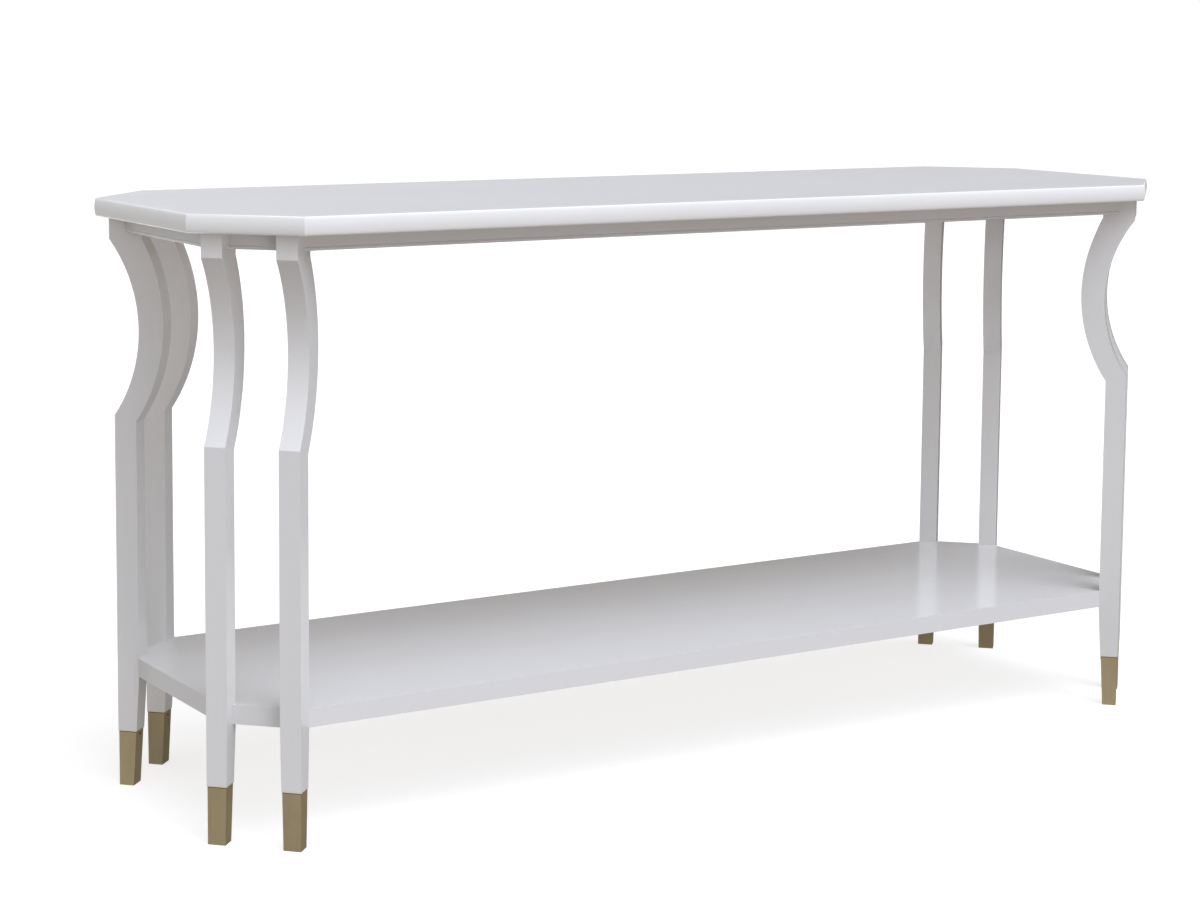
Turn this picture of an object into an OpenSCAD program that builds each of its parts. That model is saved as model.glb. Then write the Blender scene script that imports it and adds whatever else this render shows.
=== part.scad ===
// Octagonal console table: thick mitred top over recessed beaded aprons,
// four pairs of bowed square legs set across the clipped corners,
// tapered metal sabots and a low octagonal shelf held between the legs.
// Units are millimetres, +Z is up, +X is the long way of the top.
// The origin is on the floor under the middle of the top.
// The front is the long side that faces -Y.

/* [Overall] */
// Length of the top along X
table_w = 1626; // [1300:1:2000]
// Depth of the top along Y
table_d = 528; // [460:1:640]
// Height of the top surface above the floor
table_h = 812; // [780:1:900]
// Length cut off each side of a corner of the top, at 45 degrees
clip = 110; // [108:0.5:125]

/* [Top] */
// Thickness of the top
top_t = 24.4; // [20:0.1:32]
// How far the middle of the edge stands out past its upper and lower parts
top_crown = 1.3; // [0.2:0.1:2]
// Flats that make up the crowned edge
top_flats = 7; // [3:1:9]
// Easing of the upper and lower corners of the edge
top_ease = 1.2; // [0.6:0.1:2.5]

/* [Aprons] */
// Set-back of the apron faces from the edge of the top
apron_inset = 37.2; // [34:0.1:40]
// Height of the aprons below the top
apron_h = 21.8; // [21:0.1:26]
// Thickness of the apron rails
apron_t = 24.8; // [24:0.1:28]
// Height of the bead along the bottom of each apron
bead_h = 4.6; // [3:0.1:6]
// How far the bead stands out from the apron face
bead_out = 1.8; // [1:0.1:2.2]

/* [Legs] */
// Distance from the middle of a corner face to the middle of a leg
leg_s = 49.7; // [46:0.1:52]
// Width of a leg across the corner face
leg_w = 28.3; // [26:0.1:30]
// Set-back of the upright block at the head of a leg from the edge of the top
block_in = 14.5; // [12:0.1:18]
// Set-back of the straight post from the edge of the top
post_in = 19.7; // [18:0.1:22]
// Depth of the straight post
post_d = 31.2; // [29:0.1:33]
// Height of the crease between the block and the bow, below the top surface
crease_drop = 56; // [50:0.5:60]
// Height of the crease between the bow and the straight post, above the floor
crease_low = 516; // [480:1:560]
// Rise of the outer curve of the bow over its chord
bow_outer = 38.7; // [30:0.1:42]
// Rise of the inner curve of the bow over its chord
bow_inner = 34.8; // [28:0.1:40]
// How much the straight post narrows on its inner side down to the floor
taper_inner = 8.8; // [4:0.1:10]
// How much the straight post narrows on the side that faces its pair
taper_pair = 2.8; // [1:0.1:5]

/* [Shelf] */
// Height of the shelf surface above the floor
shelf_z = 179.7; // [140:0.1:260]
// Thickness of the shelf
shelf_t = 25.4; // [20:0.1:30]
// Set-back of the long and short sides of the shelf from the edge of the top
shelf_inset = 45.5; // [43:0.1:48]
// Set-back of the corner faces of the shelf from the edge of the top
shelf_clip_inset = 41.5; // [38:0.1:44]

/* [Sabots] */
// Height of the metal sabots
sabot_h = 76.5; // [50:0.5:90]
// How far the sabot faces lie inside the leg faces
sabot_step = 0.8; // [0.4:0.1:1.2]
// Wall of the sabots
sabot_wall = 1.5; // [1:0.1:2]
// Thickness of the closed end of the sabots
sabot_floor = 3; // [2:0.1:5]
// Diameter of the head of the pin on the inner face
pin_head = 3.4; // [2.5:0.1:4]

/* [Frame] */
// Depth of the corner blocks behind the legs
block_d = 34; // [28:1:44]
// Distance of each cross rail from the middle of the table
cross_x = 270; // [200:5:380]
// Width of the cross rails
cross_w = 45; // [40:1:60]
// Diameter of the wooden dowels in the rails
dowel_d = 6; // [5:0.5:6]
// Diameter of the wooden dowels in the shelf
shelf_dowel_d = 8; // [6:0.5:10]
// Diameter of the screw shanks
screw_d = 4; // [3.5:0.1:4.5]
// Diameter of the screw heads
screw_head = 8; // [7:0.1:8.5]

/* [Output] */
// Which sub-part to draw

/* [Hidden] */
$fn = 96;
eps = 0.01;
gap = 0.3;
hx = table_w / 2;
hy = table_d / 2;
top_z = table_h - top_t;
apron_z = top_z - apron_h;
rail_back = apron_inset + apron_t;
half_w = leg_w / 2;
post_back = post_in + post_d;
block_back = rail_back;
crease_up = table_h - crease_drop;
crease_in_up = crease_up + 1;
crease_in_low = crease_low - 8;
shelf_low = shelf_z - shelf_t;
half_clip = clip * sqrt(2) / 2;
leg_side = leg_s + half_w;
pair_gap = leg_s - half_w;
dowel_y = rail_back - 7;
dowel_z = top_z - 6.2;
dowel_leg = 12;
dowel_rail = 8;
shelf_dowel_leg = 17;
shelf_dowel_shelf = 22;
shelf_dowel_z = shelf_z - shelf_t / 2;
block_screw_x = leg_side - 20;
block_screw_z = apron_z + 6;
block_screw_l = block_d + 15;
block_y = block_back + block_d;
top_screw_l = 33;
top_screw_x = 26;
top_screw_y = block_back + block_d / 2;
head_h = 2.6;
pin_z = sabot_h - 6;
pin_l = 7;
pin_head_h = 0.9;
pin_d = 1.6;
cross_screw_in = 40;
screw_tip = 5;
slot_w = 1;
slot_d = 1.2;
over = 1;
// where the pin meets the sloped inner face of the sabot
pin_y = post_back - taper_inner * (1 - pin_z / shelf_low) - sabot_step;

// Corners run anticlockwise seen from above: front left, front right,
// back right, back left.  In a corner's own frame X runs along the corner
// face, +Y points into the table and the origin is on the edge of the top.
CORNER_X = [-1, 1, 1, -1];
CORNER_Y = [-1, -1, 1, 1];

module at_corner(i) {
  translate([CORNER_X[i] * (hx - clip / 2), CORNER_Y[i] * (hy - clip / 2), 0])
    rotate([0, 0, 90 * i - 45])
      children();
}

// A leg's own frame: X across the leg, +X is the side that faces its pair,
// Y as in the corner frame.  side is -1 or 1 along the corner face.
module at_leg(i, side) {
  at_corner(i)
    translate([side * leg_s, 0, 0])
      if (side < 0) {
        children();
      } else {
        mirror([1, 0, 0])
          children();
      }
}

module octagon(inset, clip_inset) {
  a = hx - inset;
  b = hy - inset;
  // corner face: x + y = c, moved in by clip_inset along its normal
  c = hx + hy - clip - clip_inset * sqrt(2);
  polygon([
    [a, -(c - a)], [a, c - a], [c - b, b], [-(c - b), b],
    [-a, c - a], [-a, -(c - a)], [-(c - b), -b], [c - b, -b]
  ]);
}

// ---- top -------------------------------------------------------------

// Cross-section of the top through two opposite edges, h either side
module top_section(h) {
  rise = top_t - 2 * top_ease;
  // right-hand edge from bottom to top: 0 to 1 up the crowned part
  edge = [
    for (k = [0:top_flats])
      let (u = k / top_flats)
        [h - top_crown * pow(2 * u - 1, 2), top_ease + u * rise]
  ];
  other = [
    for (k = [top_flats:-1:0])
      [-edge[k][0], edge[k][1]]
  ];
  flat = h - top_crown - top_ease;
  polygon(concat([[flat, 0]], edge, [[flat, top_t], [-flat, top_t]], other, [[-flat, 0]]));
}

module edge_run(h, long, turn) {
  rotate([0, 0, turn])
    translate([0, long, 0])
      rotate([90, 0, 0])
        linear_extrude(height = 2 * long)
          top_section(h);
}

module top_panel() {
  diag = (hx + hy - clip) / sqrt(2);
  color("white")
    difference() {
      translate([0, 0, top_z])
        intersection() {
          edge_run(hx, hy + over, 0);
          edge_run(hy, hx + over, 90);
          edge_run(diag, hx + hy, 45);
          edge_run(diag, hx + hy, -45);
        }
      top_screw_places()
        screw_hole(top_screw_l);
    }
}

// ---- aprons ----------------------------------------------------------

// Section of an apron: X is the set-back from the edge of the top
module apron_section() {
  translate([apron_inset, apron_z])
    square([apron_t, apron_h]);
  translate([apron_inset - bead_out + bead_h / 2, apron_z])
    square([bead_h, bead_h]);
  translate([apron_inset - bead_out + bead_h / 2, apron_z + bead_h / 2])
    circle(d = bead_h);
}

// A rail of the given half length along X, its face towards -Y
module rail_bar(half, edge) {
  translate([-half, -edge, 0])
    rotate([90, 0, 90])
      linear_extrude(height = 2 * half)
        apron_section();
}

// Everything beyond the outer sides of the leg pairs
module beyond_legs() {
  for (i = [0:3])
    at_corner(i)
      translate([-leg_side, -clip, apron_z - over])
        cube([2 * leg_side, 3 * clip, apron_h + 2 * over]);
}

module rail_dowel_holes() {
  rail_dowel_places()
    dowel_hole(dowel_d, dowel_leg, dowel_rail);
}

module long_rail() {
  difference() {
    rail_bar(hx - clip / 2, hy);
    beyond_legs();
    rail_dowel_holes();
  }
}

module end_rail() {
  difference() {
    rotate([0, 0, -90])
      rail_bar(hy - clip / 2, hx);
    beyond_legs();
    rail_dowel_holes();
  }
}

module clip_rail() {
  difference() {
    rail_bar(pair_gap, 0);
    corner_dowel_places()
      dowel_hole(dowel_d, dowel_leg, dowel_rail);
  }
}

module apron_front() {
  color("white")
    long_rail();
}

module apron_back() {
  color("white")
    rotate([0, 0, 180])
      long_rail();
}

module apron_left() {
  color("white")
    end_rail();
}

module apron_right() {
  color("white")
    rotate([0, 0, 180])
      end_rail();
}

module apron_corner(i) {
  color("white")
    at_corner(i)
      clip_rail();
}

module apron_fl() {
  apron_corner(0);
}

module apron_fr() {
  apron_corner(1);
}

module apron_br() {
  apron_corner(2);
}

module apron_bl() {
  apron_corner(3);
}

// ---- dowels and screws -----------------------------------------------

// A dowel along X from the joint at the origin: back into the first piece
// by a, forward into the second by b
module dowel(d, a, b) {
  bevel = 0.8;
  translate([-a, 0, 0])
    rotate([0, 90, 0])
      cylinder(d1 = d - 2 * bevel, d2 = d, h = bevel);
  translate([-a + bevel, 0, 0])
    rotate([0, 90, 0])
      cylinder(d = d, h = a + b - 2 * bevel);
  translate([b - bevel, 0, 0])
    rotate([0, 90, 0])
      cylinder(d1 = d, d2 = d - 2 * bevel, h = bevel);
}

module dowel_hole(d, a, b) {
  translate([-a - over, 0, 0])
    rotate([0, 90, 0])
      cylinder(d = d + 2 * gap, h = a + b + 2 * over);
}

// Screw pointing up +Z with the underside of its head at the origin plane
module screw(l) {
  difference() {
    cylinder(d1 = screw_head, d2 = screw_d, h = head_h);
    for (a = [0, 90])
      rotate([0, 0, a])
        translate([-screw_head / 4, -slot_w / 2, -over])
          cube([screw_head / 2, slot_w, slot_d + over]);
  }
  translate([0, 0, head_h - eps])
    cylinder(d = screw_d, h = l - screw_tip - head_h + eps);
  translate([0, 0, l - screw_tip])
    cylinder(d1 = screw_d, d2 = screw_d / 5, h = screw_tip);
}

module screw_hole(l) {
  cylinder(d = screw_d + 2 * gap, h = l + over);
}

module screw_seat(l) {
  screw_hole(l);
  translate([0, 0, -over])
    cylinder(d = screw_head + 2 * gap, h = over + eps);
  cylinder(d1 = screw_head + 2 * gap, d2 = screw_d + 2 * gap, h = head_h);
}

// In the corner frame: the four joints between the legs and the rails
module corner_dowel_places() {
  for (s = [-1, 1]) {
    translate([s * leg_side, dowel_y, dowel_z])
      mirror([s < 0 ? 1 : 0, 0, 0])
        children();
    translate([s * pair_gap, dowel_y, dowel_z])
      mirror([s > 0 ? 1 : 0, 0, 0])
        children();
  }
}

module cross_dowel_places() {
  for (s = [-1, 1])
    for (c = [-1, 1])
      for (k = [-1, 1])
        translate([c * cross_x + k * cross_w / 4, s * (hy - rail_back), dowel_z])
          rotate([0, 0, s * 90])
            children();
}

module rail_dowel_places() {
  for (i = [0:3])
    at_corner(i)
      corner_dowel_places()
        children();
  cross_dowel_places()
    children();
}

module block_screw_places() {
  for (s = [-1, 1])
    translate([s * block_screw_x, block_y, block_screw_z])
      rotate([90, 0, 0])
        children();
}

module corner_top_screw_places() {
  for (s = [-1, 1])
    translate([s * top_screw_x, top_screw_y, apron_z])
      children();
}

module cross_top_screw_places() {
  for (c = [-1, 1])
    for (y = [-1, 0, 1])
      translate([c * cross_x, y * (hy - rail_back - cross_screw_in), apron_z])
        children();
}

module top_screw_places() {
  for (i = [0:3])
    at_corner(i)
      corner_top_screw_places()
        children();
  cross_top_screw_places()
    children();
}

module rail_dowels() {
  color("burlywood")
    rail_dowel_places()
      dowel(dowel_d, dowel_leg, dowel_rail);
}

module block_screws() {
  color("silver")
    for (i = [0:3])
      at_corner(i)
        block_screw_places()
          screw(block_screw_l);
}

module top_screws() {
  color("silver")
    top_screw_places()
      screw(top_screw_l);
}

// ---- internal frame --------------------------------------------------

module corner_block(i) {
  // the flanks of the block lie against the backs of the two rails
  lean = half_clip - rail_back * sqrt(2);
  color("burlywood")
    at_corner(i)
      difference() {
        translate([0, 0, apron_z])
          linear_extrude(height = apron_h)
            polygon([
              [-(block_back + lean), block_back],
              [block_back + lean, block_back],
              [block_y + lean, block_y],
              [-(block_y + lean), block_y]
            ]);
        block_screw_places()
          screw_seat(block_screw_l);
        corner_top_screw_places()
          screw_seat(top_screw_l);
      }
}

module corner_block_fl() {
  corner_block(0);
}

module corner_block_fr() {
  corner_block(1);
}

module corner_block_br() {
  corner_block(2);
}

module corner_block_bl() {
  corner_block(3);
}

module cross_rail(c) {
  color("burlywood")
    difference() {
      translate([c * cross_x - cross_w / 2, rail_back - hy, apron_z])
        cube([cross_w, table_d - 2 * rail_back, apron_h]);
      cross_dowel_places()
        dowel_hole(dowel_d, dowel_leg, dowel_rail);
      cross_top_screw_places()
        screw_seat(top_screw_l);
    }
}

module cross_rail_left() {
  cross_rail(-1);
}

module cross_rail_right() {
  cross_rail(1);
}

// ---- legs and sabots -------------------------------------------------

// Disc whose arc rises by r over the chord from p to q, bulging to +X
module arc_disc(p, q, r) {
  c = norm(q - p);
  radius = (c * c / 4 + r * r) / (2 * r);
  along = (q - p) / c;
  out = [abs(along[1]), along[0] * (along[1] < 0 ? 1 : -1)];
  m = (p + q) / 2;
  translate(m - out * (radius - r))
    circle(r = radius, $fn = 240);
}

// Side view of a leg: X is the set-back from the edge of the top, Y is up
module leg_side_view() {
  difference() {
    union() {
      polygon([
        [block_in, top_z],
        [block_back, top_z],
        [block_back, crease_in_up],
        [post_back, crease_in_low],
        [post_back, shelf_low],
        [post_back - taper_inner, 0],
        [post_in, 0],
        [post_in, crease_low],
        [block_in, crease_up]
      ]);
      intersection() {
        arc_disc([block_back, crease_in_up], [post_back, crease_in_low], bow_inner);
        polygon([
          [post_back - 10, crease_in_low],
          [post_back, crease_in_low],
          [post_back + 2 * bow_inner, crease_in_low],
          [block_back + 2 * bow_inner, crease_in_up],
          [block_back, crease_in_up]
        ]);
      }
    }
    arc_disc([block_in, crease_up], [post_in, crease_low], bow_outer);
  }
}

// Front view of a leg: +X is the side that faces its pair
module leg_front_view() {
  polygon([
    [-half_w, 0],
    [half_w - taper_pair, 0],
    [half_w, shelf_low],
    [half_w, top_z],
    [-half_w, top_z]
  ]);
}

// Tapered foot of the leg, its faces moved in by step, from z0 to z1
module foot(step, z0, z1) {
  kz0 = 1 - z0 / shelf_low;
  kz1 = 1 - z1 / shelf_low;
  intersection() {
    translate([-half_w - over, 0, 0])
      rotate([90, 0, 90])
        linear_extrude(height = leg_w + 2 * over)
          polygon([
            [post_in + step, z0],
            [post_back - taper_inner * kz0 - step, z0],
            [post_back - taper_inner * kz1 - step, z1],
            [post_in + step, z1]
          ]);
    translate([0, post_back + over, 0])
      rotate([90, 0, 0])
        linear_extrude(height = post_d + 2 * over)
          polygon([
            [-half_w + step, z0],
            [half_w - taper_pair * kz0 - step, z0],
            [half_w - taper_pair * kz1 - step, z1],
            [-half_w + step, z1]
          ]);
  }
}

module pin_place() {
  mid = (half_w - taper_pair * (1 - pin_z / shelf_low) - half_w) / 2;
  translate([mid, pin_y, pin_z])
    rotate([90, 0, 0])
      children();
}

module leg() {
  difference() {
    union() {
      intersection() {
        translate([-half_w, 0, 0])
          rotate([90, 0, 90])
            linear_extrude(height = leg_w)
              leg_side_view();
        translate([0, block_back + 2 * bow_inner, 0])
          rotate([90, 0, 0])
            linear_extrude(height = block_back + 2 * bow_inner)
              leg_front_view();
        translate([-leg_w, 0, sabot_h])
          cube([2 * leg_w, 3 * block_back, table_h]);
      }
      foot(sabot_step + sabot_wall, sabot_floor, sabot_h + eps);
    }
    for (s = [-1, 1])
      translate([s * half_w, dowel_y, dowel_z])
        mirror([s < 0 ? 1 : 0, 0, 0])
          dowel_hole(dowel_d, dowel_leg, dowel_rail);
    translate([leg_s - block_screw_x, block_y, block_screw_z])
      rotate([90, 0, 0])
        screw_hole(block_screw_l);
    shelf_dowel_place()
      dowel_hole(shelf_dowel_d, shelf_dowel_leg, shelf_dowel_shelf);
    pin_place()
      cylinder(d = pin_d + 2 * gap, h = pin_l + over);
  }
}

module sabot() {
  difference() {
    foot(sabot_step, 0, sabot_h);
    foot(sabot_step + sabot_wall, sabot_floor, sabot_h + over);
    pin_place()
      cylinder(d = pin_d + 2 * gap, h = pin_l + over);
  }
}

module sabot_pin() {
  pin_place() {
    translate([0, 0, -pin_head_h])
      cylinder(d = pin_head, h = pin_head_h);
    translate([0, 0, -eps])
      cylinder(d = pin_d, h = pin_l);
  }
}

module shelf_dowel_place() {
  translate([0, post_back, shelf_dowel_z])
    rotate([0, 0, 90])
      children();
}

module leg_at(i, side) {
  color("white")
    at_leg(i, side)
      leg();
}

module sabot_at(i, side) {
  color("goldenrod")
    at_leg(i, side)
      sabot();
}

module leg_fl_end() {
  leg_at(0, -1);
}

module leg_fl_side() {
  leg_at(0, 1);
}

module leg_fr_side() {
  leg_at(1, -1);
}

module leg_fr_end() {
  leg_at(1, 1);
}

module leg_br_end() {
  leg_at(2, -1);
}

module leg_br_side() {
  leg_at(2, 1);
}

module leg_bl_side() {
  leg_at(3, -1);
}

module leg_bl_end() {
  leg_at(3, 1);
}

module sabot_fl_end() {
  sabot_at(0, -1);
}

module sabot_fl_side() {
  sabot_at(0, 1);
}

module sabot_fr_side() {
  sabot_at(1, -1);
}

module sabot_fr_end() {
  sabot_at(1, 1);
}

module sabot_br_end() {
  sabot_at(2, -1);
}

module sabot_br_side() {
  sabot_at(2, 1);
}

module sabot_bl_side() {
  sabot_at(3, -1);
}

module sabot_bl_end() {
  sabot_at(3, 1);
}

module sabot_pins() {
  color("goldenrod")
    for (i = [0:3])
      for (s = [-1, 1])
        at_leg(i, s)
          sabot_pin();
}

// ---- shelf -----------------------------------------------------------

module shelf_panel() {
  color("white")
    difference() {
      translate([0, 0, shelf_low])
        linear_extrude(height = shelf_t)
          octagon(shelf_inset, shelf_clip_inset);
      for (i = [0:3])
        for (s = [-1, 1])
          at_leg(i, s) {
            translate([-half_w, 0, shelf_low - over])
              cube([leg_w, post_back, shelf_t + 2 * over]);
            shelf_dowel_place()
              dowel_hole(shelf_dowel_d, shelf_dowel_leg, shelf_dowel_shelf);
          }
    }
}

module shelf_dowels() {
  color("burlywood")
    for (i = [0:3])
      for (s = [-1, 1])
        at_leg(i, s)
          shelf_dowel_place()
            dowel(shelf_dowel_d, shelf_dowel_leg, shelf_dowel_shelf);
}

// ---- output ----------------------------------------------------------

top_panel();
apron_front();
apron_back();
apron_left();
apron_right();
apron_fl();
apron_fr();
apron_br();
apron_bl();
leg_fl_end();
leg_fl_side();
leg_fr_side();
leg_fr_end();
leg_br_end();
leg_br_side();
leg_bl_side();
leg_bl_end();
sabot_fl_end();
sabot_fl_side();
sabot_fr_side();
sabot_fr_end();
sabot_br_end();
sabot_br_side();
sabot_bl_side();
sabot_bl_end();
shelf_panel();
corner_block_fl();
corner_block_fr();
corner_block_br();
corner_block_bl();
cross_rail_left();
cross_rail_right();
rail_dowels();
shelf_dowels();
block_screws();
top_screws();
sabot_pins();
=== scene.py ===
import bpy
import bmesh
import math
from mathutils import Matrix, Vector


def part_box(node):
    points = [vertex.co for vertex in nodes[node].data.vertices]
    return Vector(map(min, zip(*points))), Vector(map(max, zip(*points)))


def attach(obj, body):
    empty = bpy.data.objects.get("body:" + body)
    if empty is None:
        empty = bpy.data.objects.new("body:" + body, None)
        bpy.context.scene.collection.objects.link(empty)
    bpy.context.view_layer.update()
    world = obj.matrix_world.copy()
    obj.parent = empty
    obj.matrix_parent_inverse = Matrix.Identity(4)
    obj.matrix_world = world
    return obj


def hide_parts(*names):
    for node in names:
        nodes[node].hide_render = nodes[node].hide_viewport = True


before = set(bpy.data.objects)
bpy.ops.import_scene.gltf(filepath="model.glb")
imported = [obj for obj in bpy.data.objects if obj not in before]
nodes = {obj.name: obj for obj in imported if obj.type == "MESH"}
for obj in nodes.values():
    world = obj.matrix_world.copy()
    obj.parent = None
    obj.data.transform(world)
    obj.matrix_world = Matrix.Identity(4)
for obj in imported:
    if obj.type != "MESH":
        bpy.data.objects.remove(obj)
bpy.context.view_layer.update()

# Lengths are in metres, angles in degrees and colours linear, unless a comment says otherwise.

# ---------------------------------------------------------------- materials


class Tree:
    """A material's node tree, with short ways to add and join nodes."""

    def __init__(self, name):
        self.mat = bpy.data.materials.new(name)
        self.mat.use_nodes = True
        self.nt = self.mat.node_tree
        self.bsdf = next(n for n in self.nt.nodes if n.type == "BSDF_PRINCIPLED")
        self.coord = self.add("ShaderNodeTexCoord").outputs["Object"]

    def add(self, kind, **settings):
        n = self.nt.nodes.new(kind)
        for key, value in settings.items():
            setattr(n, key, value)
        return n

    def feed(self, sock, value):
        """Give a socket a number, a colour or what another node puts out."""
        if isinstance(value, (int, float)):
            sock.default_value = value
        elif isinstance(value, tuple):
            sock.default_value = (*value, 1)
        else:
            self.nt.links.new(value, sock)

    def noise(self, scale, stretch=(1, 1, 1), detail=4.0, rough=0.55, distort=0.0, shift=(0, 0, 0)):
        """Noise over the object: finer along an axis where stretch is larger."""
        m = self.add("ShaderNodeMapping")
        m.inputs["Scale"].default_value = stretch
        m.inputs["Location"].default_value = shift
        self.feed(m.inputs["Vector"], self.coord)
        n = self.add("ShaderNodeTexNoise")
        n.inputs["Scale"].default_value = scale
        n.inputs["Detail"].default_value = detail
        n.inputs["Roughness"].default_value = rough
        n.inputs["Distortion"].default_value = distort
        self.feed(n.inputs["Vector"], m.outputs["Vector"])
        return n.outputs["Fac"]

    def calc(self, op, a, b):
        n = self.add("ShaderNodeMath", operation=op)
        self.feed(n.inputs[0], a)
        self.feed(n.inputs[1], b)
        return n.outputs[0]

    def ramp(self, fac, *stops):
        """Colours, or greys given as one number, each at its place from 0 to 1."""
        n = self.add("ShaderNodeValToRGB")
        el = n.color_ramp.elements
        while len(el) < len(stops):
            el.new(0.5)
        for e, (pos, col) in zip(el, stops):
            e.position = pos
            e.color = (col, col, col, 1) if isinstance(col, (int, float)) else (*col, 1)
        self.feed(n.inputs["Fac"], fac)
        return n.outputs["Color"]

    def span(self, fac, lo, hi, frm=(0.3, 0.7)):
        """The range frm of fac, spread over lo to hi and held at its ends."""
        n = self.add("ShaderNodeMapRange")
        n.inputs["From Min"].default_value, n.inputs["From Max"].default_value = frm
        n.inputs["To Min"].default_value, n.inputs["To Max"].default_value = lo, hi
        self.feed(n.inputs["Value"], fac)
        return n.outputs["Result"]

    def mix(self, fac, a, b, blend="MIX"):
        n = self.add("ShaderNodeMix", data_type="RGBA", blend_type=blend)
        self.feed(n.inputs[0], fac)
        self.feed(n.inputs[6], a)
        self.feed(n.inputs[7], b)
        return n.outputs[2]

    def edge(self):
        """One on the eased arrises that skin() marks, and nought elsewhere."""
        return self.add("ShaderNodeAttribute", attribute_name="edge").outputs["Fac"]

    def band(self, lo, hi):
        """One between two heights and nought outside them."""
        split = self.add("ShaderNodeSeparateXYZ")
        self.feed(split.inputs[0], self.coord)
        z = split.outputs["Z"]
        return self.calc("MULTIPLY", self.calc("GREATER_THAN", z, lo), self.calc("LESS_THAN", z, hi))

    def bump(self, height, strength, distance, after=None):
        """A normal bumped by height, on top of the normal after where there is one."""
        n = self.add("ShaderNodeBump")
        n.inputs["Strength"].default_value = strength
        n.inputs["Distance"].default_value = distance
        self.feed(n.inputs["Height"], height)
        if after is not None:
            self.feed(n.inputs["Normal"], after)
        return n.outputs["Normal"]

    def put(self, **values):
        """Set the shader's own sockets: Base_Color is the socket Base Color."""
        for key, value in values.items():
            self.feed(self.bsdf.inputs[key.replace("_", " ")], value)


X, Y, Z = range(3)


def along(axis, fine, long):
    """A noise stretch: fine across one axis and long along it."""
    return tuple(long if i == axis else fine for i in range(3))


def times(colour, factors):
    """A colour with its channels times three factors, or all times one."""
    if isinstance(factors, (int, float)):
        factors = (factors, factors, factors)
    return tuple(c * k for c, k in zip(colour, factors))


# Where the sabots end and the bare lacquer starts
SABOT_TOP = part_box("sabot_fl_end")[1].z
# The cream line above the sabots: its height, how far it covers the white, and its colour
CREAM_LINE = 0.0020
CREAM_COVER = 0.8
CREAM = (0.76, 0.70, 0.58)

# Roughness of the lacquers. Each range, with RUBBED added, stays on one side of 0.274.
# A surface that crosses that value comes out blotchy when a render with few samples is denoised.
GLOSS_TOP = (0.285, 0.315)
GLOSS_SHELF = (0.13, 0.18)
GLOSS_FRAME = (0.17, 0.23)
RUBBED = 0.04


def lacquer(name, axis, tint, shift, gloss=GLOSS_FRAME, relief=1.0, foot=False, calm=False):
    """Semi-gloss white lacquer on wood, with very faint marks of the grain along one axis.

    A calm one has only broad streaks, and one with a foot has the cream line over its sabot.
    """
    t = Tree(name)
    cloud = t.noise(1.7, detail=3, shift=(shift, 0, 0))
    across, detail = (1.3, 1) if calm else (7.0, 5)
    streak = t.noise(6.0, along(axis, across, 0.2), detail, distort=0.3, shift=(0, shift, 0))
    body = t.mix(0.5, t.span(cloud, 0, 1), t.span(streak, 0, 1))
    deep = times(tint, (0.982, 0.980, 0.974))
    high = times(tint, 1.012)
    colour = t.ramp(body, (0.0, deep), (0.5, tint), (1.0, high))
    if not calm:
        pores = t.noise(30.0, along(axis, 14.0, 0.6), detail=3, rough=0.5, distort=0.1, shift=(0, 0, shift))
        colour = t.mix(1.0, colour, t.ramp(pores, (0.28, 0.990), (0.40, 1.0)), "MULTIPLY")
        grain = t.calc("ADD", t.calc("MULTIPLY", streak, 0.5), t.calc("MULTIPLY", pores, 0.5))
        peel = t.noise(300.0, detail=2, rough=0.4)
        grained = t.bump(grain, strength=0.022 * relief, distance=0.0004)
        t.put(Normal=t.bump(peel, strength=0.008 * relief, distance=0.0003, after=grained))
    # the film is thinner and a little rubbed on the arrises
    rub = t.calc("MULTIPLY", t.edge(), t.span(t.noise(30.0), 0.25, 1.0, frm=(0.40, 0.62)))
    worn = times(tint, (1.0, 0.985, 0.955))
    colour = t.mix(t.calc("MULTIPLY", rub, 0.5), colour, worn)
    if foot:
        line = t.band(SABOT_TOP, SABOT_TOP + CREAM_LINE)
        colour = t.mix(t.calc("MULTIPLY", line, CREAM_COVER), colour, CREAM)
    film = t.noise(9.0, along(axis, 3.0, 1.0), detail=2 if calm else 4, rough=0.6)
    rough = t.calc("ADD", t.span(film, *gloss), t.calc("MULTIPLY", rub, RUBBED))
    t.put(Base_Color=colour, Roughness=rough, Specular_IOR_Level=0.5, IOR=1.49)
    return t.mat


BRASS_LOW = (0.600, 0.480, 0.290)
BRASS_MID = (0.680, 0.555, 0.340)
BRASS_HIGH = (0.745, 0.620, 0.400)
# The patina on the arrises and the painted shade at the rim: how dark they are beside BRASS_LOW, and how
# far they cover the brass
PATINA_AND_SHADE_DARK = 0.30
PATINA_AND_SHADE_COVER = 0.8
# Width of the painted shade at a sabot's rim, just under the foot of the leg
RIM_SHADE = 0.0014


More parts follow.
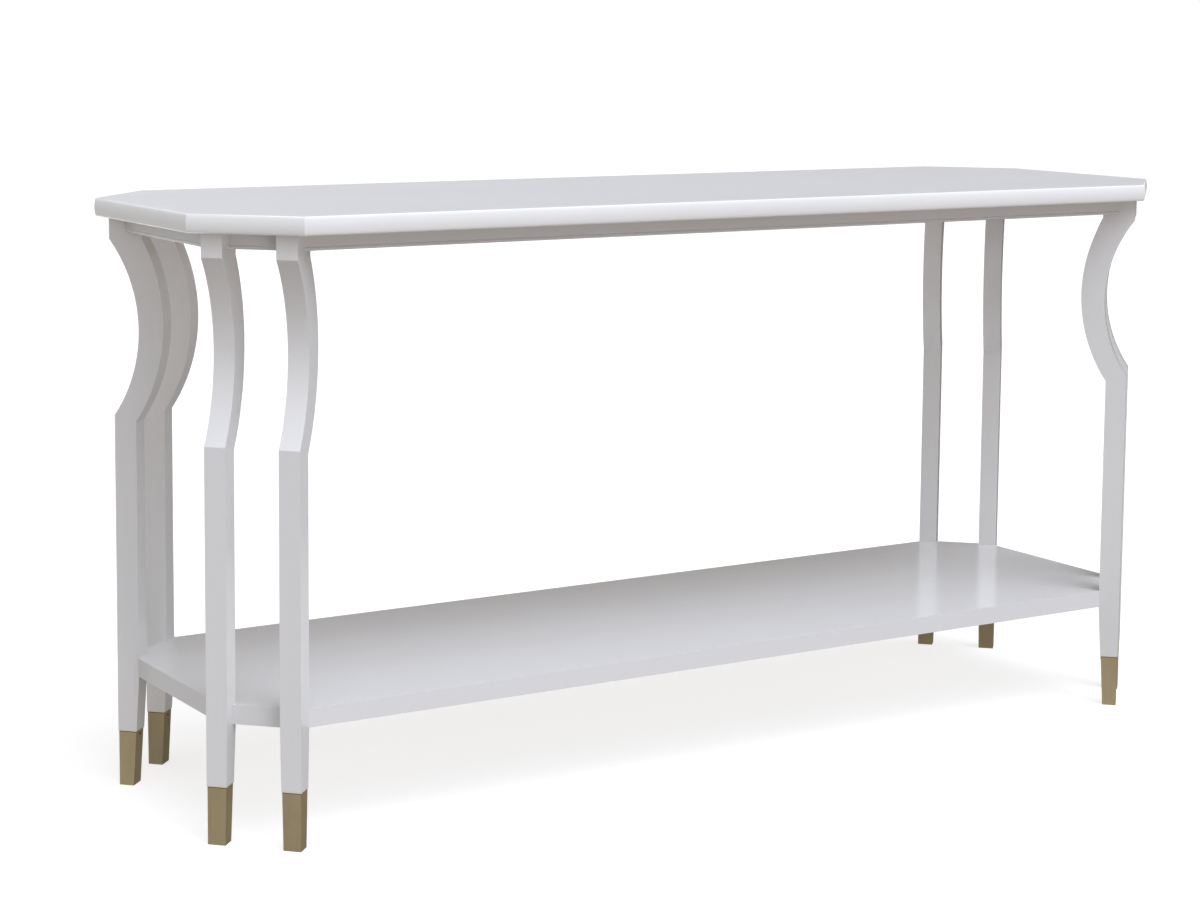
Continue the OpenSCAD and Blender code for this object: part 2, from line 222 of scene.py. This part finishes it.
def brass(name, shift, tone):
    """Satin antiqued brass, brushed upwards, darkened by patina on its arrises, with painted shade at its
    rim under the leg.
    """
    t = Tree(name)
    brushed = t.noise(70.0, along(Z, 16.0, 0.35), detail=5, rough=0.6, shift=(shift, 0, 0))
    patina = t.noise(16.0, along(Z, 1.0, 0.5), rough=0.5, distort=0.3, shift=(0, shift, 0))
    specks = t.noise(300.0, detail=3, rough=0.5)
    low, mid, high = (times(c, tone) for c in (BRASS_LOW, BRASS_MID, BRASS_HIGH))
    base = t.ramp(patina, (0.30, low), (0.50, mid), (0.70, high))
    colour = t.mix(1.0, base, t.ramp(brushed, (0.30, 0.955), (0.5, 1.0), (0.72, 1.035)), "MULTIPLY")
    colour = t.mix(1.0, colour, t.ramp(specks, (0.27, 0.90), (0.34, 1.0)), "MULTIPLY")
    arris = t.calc("MULTIPLY", t.edge(), t.span(patina, 0.45, 1.0))
    # patina on the arrises, and painted shade as a dark band at the rim where the leg stands over the sabot
    patina_and_rim_shade = t.calc("MAXIMUM", arris, t.band(SABOT_TOP - RIM_SHADE, SABOT_TOP + RIM_SHADE))
    colour = t.mix(t.calc("MULTIPLY", patina_and_rim_shade, PATINA_AND_SHADE_COVER), colour, times(low, PATINA_AND_SHADE_DARK))
    rough = t.calc("ADD", t.span(brushed, 0.40, 0.50), t.calc("MULTIPLY", patina_and_rim_shade, 0.08))
    normal = t.bump(brushed, strength=0.08, distance=0.0003)
    normal = t.bump(specks, strength=0.04, distance=0.0002, after=normal)
    t.put(Base_Color=colour, Roughness=rough, Normal=normal, Metallic=0.9)
    return t.mat


def bare_wood(name, axis, light, dark, shift):
    """Unfinished hardwood of the hidden frame."""
    t = Tree(name)
    rings = t.noise(10.0, along(axis, 6.0, 0.5), detail=5, distort=1.4, shift=(shift, shift, 0))
    fibre = t.noise(60.0, along(axis, 14.0, 0.6), rough=0.6)
    saw = t.noise(90.0, along(axis, 0.6, 9.0), detail=2, rough=0.5)
    between = tuple((a + b) / 2 for a, b in zip(light, dark))
    colour = t.ramp(rings, (0.30, dark), (0.5, between), (0.68, light))
    colour = t.mix(1.0, colour, t.ramp(fibre, (0.3, 0.84), (0.6, 1.05)), "MULTIPLY")
    colour = t.mix(t.calc("MULTIPLY", t.edge(), 0.5), colour, times(dark, 0.7))
    normal = t.bump(fibre, strength=0.35, distance=0.0006)
    normal = t.bump(saw, strength=0.12, distance=0.0005, after=normal)
    t.put(Base_Color=colour, Roughness=t.span(fibre, 0.62, 0.82), Normal=normal)
    return t.mat


def zinc(name):
    """Zinc-plated screws: cold grey with faint bloom and turning marks."""
    t = Tree(name)
    bloom = t.noise(120.0, detail=5, rough=0.65, distort=0.5)
    turned = t.noise(900.0, along(Z, 0.2, 3.0), detail=2)
    colour = t.ramp(bloom, (0.3, (0.42, 0.43, 0.42)), (0.6, (0.62, 0.63, 0.64)), (0.8, (0.70, 0.68, 0.60)))
    t.put(Base_Color=colour, Metallic=1.0, Roughness=t.span(bloom, 0.28, 0.46))
    t.put(Normal=t.bump(turned, strength=0.15, distance=0.0002))
    return t.mat


# One white lacquer painted at four brightnesses: the top is lighter as painted light; the shelf under the
# top and the rails under its overhang are darker as painted shade; the legs lie between
WHITE_TOP_LIT = (0.843, 0.841, 0.843)
WHITE_SHELF_SHADED = (0.731, 0.729, 0.732)
WHITE_LEG = (0.763, 0.758, 0.761)
WHITE_RAIL_SHADED = (0.708, 0.703, 0.700)
BEECH = {"light": (0.60, 0.42, 0.25), "dark": (0.40, 0.255, 0.14)}
BIRCH = {"light": (0.66, 0.50, 0.32), "dark": (0.48, 0.34, 0.20)}
# A material's shift moves its noise, so that two like materials show different marks
MATS = {
    "top": lacquer("lacquer_top_lit", X, WHITE_TOP_LIT, shift=3.1, gloss=GLOSS_TOP, calm=True),
    "shelf": lacquer("lacquer_shelf_shaded", X, WHITE_SHELF_SHADED, shift=7.7, gloss=GLOSS_SHELF, relief=0.5),
    "rail_x": lacquer("lacquer_rail_long_shaded", X, WHITE_RAIL_SHADED, shift=1.9),
    "rail_y": lacquer("lacquer_rail_end_shaded", Y, WHITE_RAIL_SHADED, shift=5.3),
    "leg_a": lacquer("lacquer_leg_a", Z, WHITE_LEG, shift=2.4, foot=True),
    "leg_b": lacquer("lacquer_leg_b", Z, WHITE_LEG, shift=8.6, foot=True),
    "brass_a": brass("brass_a", shift=1.3, tone=0.96),
    # The darker brass below is the same brass painted darker, as painted shade for the sabots of the back
    # legs
    "brass_shaded": brass("brass_shaded", shift=6.1, tone=0.76),
    "pin": brass("brass_pin", shift=3.7, tone=0.35),
    "block": bare_wood("beech_block", X, **BEECH, shift=2.2),
    "cross": bare_wood("beech_cross", Y, **BEECH, shift=4.8),
    "dowel": bare_wood("birch_dowel", X, **BIRCH, shift=9.1),
    "zinc": zinc("zinc_plate"),
}

# ------------------------------------------------------------------- pieces

# Points this close together are one point
WELD = 1e-6
# Faces that meet at a smaller angle than this are one face
SAME_FACE = 0.4
# Edges that turn by more than this are shaded as hard edges
HARD_EDGE = 31.0
# How far the large faces outweigh the eased arrises in the shading
FACE_WEIGHT = 80


def new_object(name, bm, mat):
    """An object in the scene, with the mesh that bm holds."""
    me = bpy.data.meshes.new(name)
    bm.to_mesh(me)
    bm.free()
    me.materials.append(mat)
    ob = bpy.data.objects.new(name, me)
    bpy.context.scene.collection.objects.link(ob)
    return ob


def skin(node, mat, width=0, segments=2, corner=50):
    """A finished surface for one CAD node: clean faces, and eased arrises that are marked.

    An outer edge that turns by more than corner is eased by width, in so many segments.
    """
    bm = bmesh.new()
    bm.from_mesh(nodes[node].data)
    bmesh.ops.remove_doubles(bm, verts=bm.verts, dist=WELD)
    bmesh.ops.dissolve_limit(bm, angle_limit=math.radians(SAME_FACE), verts=bm.verts, edges=bm.edges)
    edge = bm.loops.layers.float.new("edge")
    if width:
        arris = [
            e for e in bm.edges
            if e.is_manifold and e.is_convex and e.calc_face_angle(0) > math.radians(corner)
        ]
        made = bmesh.ops.bevel(
            bm, geom=arris, offset=width, offset_type="OFFSET", segments=segments,
            profile=0.5, affect="EDGES", clamp_overlap=True, loop_slide=True,
        )
        for f in made["faces"]:
            for loop in f.loops:
                loop[edge] = 1.0
    for f in bm.faces:
        f.smooth = True
    for e in bm.edges:
        if e.is_manifold and e.calc_face_angle(0) > math.radians(HARD_EDGE):
            e.smooth = False
    ob = new_object(node + "_skin", bm, mat)
    shading = ob.modifiers.new("flat_faces", "WEIGHTED_NORMAL")
    shading.keep_sharp = True
    shading.weight = FACE_WEIGHT
    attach(ob, "root")
    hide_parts(node)


LEGS = ("fl_end", "fl_side", "fr_side", "fr_end", "br_end", "br_side", "bl_side", "bl_end")
# Legs whose sabots get the darker brass as painted shade: the legs at the back, where shade falls
SHADED_SABOT_LEGS = ("br_end", "br_side", "bl_side")

skin("top_panel", MATS["top"], width=0.0005, corner=35)
skin("shelf_panel", MATS["shelf"], width=0.0007, corner=40)
for n in ("front", "back"):
    skin("apron_" + n, MATS["rail_x"], width=0.0005, corner=60)
for n in ("left", "right", "fl", "fr", "br", "bl"):
    skin("apron_" + n, MATS["rail_y"], width=0.0005, corner=60)
for i, n in enumerate(LEGS):
    white = MATS["leg_a" if i % 2 else "leg_b"]
    # the sabots of the back legs get the darker brass, as painted shade
    metal = MATS["brass_shaded" if n in SHADED_SABOT_LEGS else "brass_a"]
    skin("leg_" + n, white, width=0.0018, segments=3)
    skin("sabot_" + n, metal, width=0.0010, segments=3)
for n in ("fl", "fr", "br", "bl"):
    skin("corner_block_" + n, MATS["block"], width=0.0008)
for n in ("left", "right"):
    skin("cross_rail_" + n, MATS["cross"], width=0.0008)
skin("rail_dowels", MATS["dowel"])
skin("shelf_dowels", MATS["dowel"])
skin("block_screws", MATS["zinc"])
skin("top_screws", MATS["zinc"])
skin("sabot_pins", MATS["pin"])

# ------------------------------------------------------- floor, light, camera

FLOOR_RADIUS = 8.9
BACKDROP_RADIUS = 9.0
# The floor lies a hair under the feet, so that the two don't share a plane
FLOOR_LEVEL = -0.0002


def stage(name, bm, level, glow, tone=None):
    """A piece of the plain studio: the camera sees it, and it sends no light to the table.

    It glows evenly. With a tone it also takes light and shadow, as a pale matt floor does.
    """
    t = Tree(name)
    if tone:
        t.put(Base_Color=t.ramp(t.noise(0.8, detail=3), (0.3, tone * 0.985), (0.7, tone)), Roughness=0.8)
    else:
        t.put(Base_Color=(0, 0, 0))
    t.put(Specular_IOR_Level=0.0, Emission_Color=(1, 1, 1), Emission_Strength=glow)
    ob = new_object(name, bm, t.mat)
    ob.location.z = level
    ob.visible_diffuse = ob.visible_glossy = ob.visible_transmission = False
    ob.visible_volume_scatter = ob.visible_shadow = False


def disc(radius):
    bm = bmesh.new()
    bmesh.ops.create_circle(bm, cap_ends=True, segments=96, radius=radius)
    return bm


def dome(radius):
    bm = bmesh.new()
    bmesh.ops.create_uvsphere(bm, u_segments=64, v_segments=32, radius=radius)
    bmesh.ops.reverse_faces(bm, faces=bm.faces)
    return bm


# Light from all round, above and below the horizon
BASE_ABOVE = (0.135, 0.102, 0.070)
BASE_BELOW = (0.022, 0.020, 0.016)
# The two blend where the sine of the elevation lies between minus this and plus this
HORIZON = 0.18
# Broad soft lamps: azimuth from +X towards +Y, elevation, tightness and colour
LAMPS = (
    (281, 59, 15.0, (6.76, 7.31, 8.30)),  # high over the front
    (221, 24.5, 8.9, (0.72, 0.74, 0.80)),  # front left
    (-12, 13.6, 12.4, (1.46, 1.49, 1.46)),  # right-hand end
    (178, 12.5, 8.6, (0.94, 0.95, 0.92)),  # left-hand end
    (108, 16.3, 8.8, (1.16, 1.20, 1.26)),  # back
    (273, -32.6, 15.0, (2.44, 2.24, 2.14)),  # up from the floor in front
    (86, -38.7, 15.7, (3.90, 3.75, 3.68)),  # up from the floor behind
)


def studio():
    """The world's light: the base, and each lamp as colour * exp(tightness * (cos(angle) - 1))."""
    world = bpy.data.worlds.new("studio")
    world.use_nodes = True
    nt = world.node_tree
    out = next(n for n in nt.nodes if n.type == "BACKGROUND")
    ray = nt.nodes.new("ShaderNodeTexCoord").outputs["Generated"]

    def feed(sock, value):
        if hasattr(value, "is_linked"):
            nt.links.new(value, sock)
        else:
            sock.default_value = value

    def node(kind, *ins, **settings):
        n = nt.nodes.new(kind)
        for key, value in settings.items():
            setattr(n, key, value)
        for sock, value in zip(n.inputs, ins):
            feed(sock, value)
        return n

    height = node("ShaderNodeSeparateXYZ", ray).outputs["Z"]
    fade = node("ShaderNodeMapRange", height, -HORIZON, HORIZON, interpolation_type="SMOOTHSTEP")
    base = node("ShaderNodeMix", fade.outputs["Result"], data_type="RGBA")
    feed(base.inputs[6], (*BASE_BELOW, 1))
    feed(base.inputs[7], (*BASE_ABOVE, 1))
    total = base.outputs[2]
    for azimuth, elevation, tightness, colour in LAMPS:
        a, e = math.radians(azimuth), math.radians(elevation)
        way = (math.cos(e) * math.cos(a), math.cos(e) * math.sin(a), math.sin(e))
        near = node("ShaderNodeVectorMath", ray, way, operation="DOT_PRODUCT").outputs["Value"]
        near = node("ShaderNodeMath", near, 1.0, operation="SUBTRACT").outputs[0]
        near = node("ShaderNodeMath", near, tightness, operation="MULTIPLY").outputs[0]
        near = node("ShaderNodeMath", near, operation="EXPONENT").outputs[0]
        lit = node("ShaderNodeVectorMath", colour, operation="SCALE")
        feed(lit.inputs["Scale"], near)
        both = node("ShaderNodeVectorMath", total, lit.outputs["Vector"], operation="ADD")
        total = both.outputs["Vector"]
    feed(out.inputs["Color"], total)
    feed(out.inputs["Strength"], 1.0)
    bpy.context.scene.world = world


def camera(place, yaw, pitch, roll, lens, shift):
    """A camera that looks along +Y, turned by yaw about Z and down by pitch, and rolled.

    The lens is in millimetres on a film 36 mm wide, and the shift is in widths of the picture.
    """
    y, p, r = (math.radians(v) for v in (yaw, pitch, roll))
    look = Vector((-math.sin(y) * math.cos(p), math.cos(y) * math.cos(p), -math.sin(p)))
    side = Vector((math.cos(y), math.sin(y), 0))
    up = side.cross(look)
    right = side * math.cos(r) + up * math.sin(r)
    top = up * math.cos(r) - side * math.sin(r)
    data = bpy.data.cameras.new("camera")
    data.sensor_fit = "HORIZONTAL"
    data.sensor_width = 36
    data.lens = lens
    data.shift_x, data.shift_y = shift
    data.dof.use_dof = False
    ob = bpy.data.objects.new("camera", data)
    m = Matrix((right, top, -look)).transposed().to_4x4()
    m.translation = Vector(place)
    ob.matrix_world = m
    bpy.context.scene.collection.objects.link(ob)
    bpy.context.scene.camera = ob


stage("studio_floor", disc(FLOOR_RADIUS), FLOOR_LEVEL, glow=0.70, tone=0.42)
stage("studio_backdrop", dome(BACKDROP_RADIUS), 0, glow=1.1)
studio()
camera(
    place=(-2.0811, -3.1211, 1.0608),
    yaw=-31.8075,
    pitch=6.3122,
    roll=0.45,
    lens=77.28,
    shift=(0.0196, -0.1321),
)

view = bpy.context.scene.view_settings
view.view_transform = "Standard"
view.look = "None"
view.exposure = 0
view.gamma = 1
